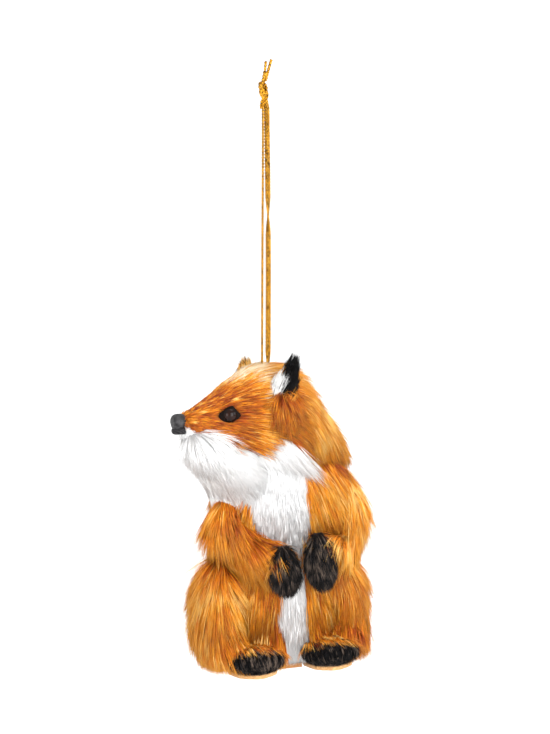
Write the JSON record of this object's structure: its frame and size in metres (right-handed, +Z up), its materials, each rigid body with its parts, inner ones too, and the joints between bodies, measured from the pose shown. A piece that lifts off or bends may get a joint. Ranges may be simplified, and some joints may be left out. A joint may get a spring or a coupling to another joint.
{
  "type": "fox ornament",
  "caption": "Hanging fox ornament of dyed fur over a foam body, sitting up with its head turned, on a knotted loop of flat gold braid that turns, with the fox free to swing.",
  "frame": {"origin": "inside the top of the cord loop, right under the knot, where the ornament hangs on a hook", "axes": "+Z up along the hanging cord, the fox's chest towards -Y, its head turned towards -X"},
  "size_m": [0.0617, 0.058, 0.1705],
  "materials": {
    "orange_fur": "dyed long-pile fur, soft, swept down",
    "white_fur": "undyed long-pile fur",
    "black_fur": "black dyed fur",
    "dark_fur": "short dark brown fur",
    "bead_glass": "polished black-brown glass bead",
    "nose_plastic": "black, satin, lightly pebbled",
    "black_thread": "waxed black thread",
    "body_foam": "moulded foam, beaded",
    "peg_wood": "plain turned birch",
    "staple_wire": "drawn wire",
    "sole_hide": "tan, the flesh side of the hide",
    "base_cloth": "tan felt",
    "gold_braid": "flat metallic gold braid"
  },
  "bodies": {
    "loop_top": {"top_knot": "gold_braid", "cord_tail_left": "gold_braid", "cord_tail_right": "gold_braid"},
    "cord": {"cord_bight": "gold_braid", "cord_strand_left": "gold_braid", "cord_strand_right": "gold_braid"},
    "fox": {"face_fur": "orange_fur", "jaw_fur": "white_fur", "nape_fur": "orange_fur", "throat_ruff": "white_fur", "ear_left": "black_fur", "ear_right": "black_fur", "ear_lining_left": "white_fur", "ear_lining_right": "white_fur", "eye_left": "bead_glass", "eye_right": "bead_glass", "eyelid_left": "dark_fur", "eyelid_right": "dark_fur", "nose": "nose_plastic", "mouth_line": "black_thread", "head_core": "body_foam", "neck_peg": "peg_wood", "hanger_staple": "staple_wire", "torso_core": "body_foam", "belly_fur": "white_fur", "flank_fur_left": "orange_fur", "flank_fur_right": "orange_fur", "back_fur": "orange_fur", "arm_fur_left": "orange_fur", "arm_fur_right": "orange_fur", "paw_left": "black_fur", "paw_right": "black_fur", "haunch_fur_left": "orange_fur", "haunch_fur_right": "orange_fur", "foot_left": "black_fur", "foot_right": "black_fur", "sole_left": "sole_hide", "sole_right": "sole_hide", "base_felt": "base_cloth", "tail_fur": "orange_fur", "tail_tip": "white_fur"}
  },
  "joints": [
    {"name": "loop_turn", "type": "hinge", "parent": "loop_top", "child": "cord", "pos_m": [0, 0, 0], "axis": [0, 0, 1], "continuous": true},
    {"name": "fox_swing", "type": "hinge", "parent": "cord", "child": "fox", "pos_m": [0, 0, -0.0735], "axis": [0, 1, 0], "range_deg": [-25, 25]}
  ]
}
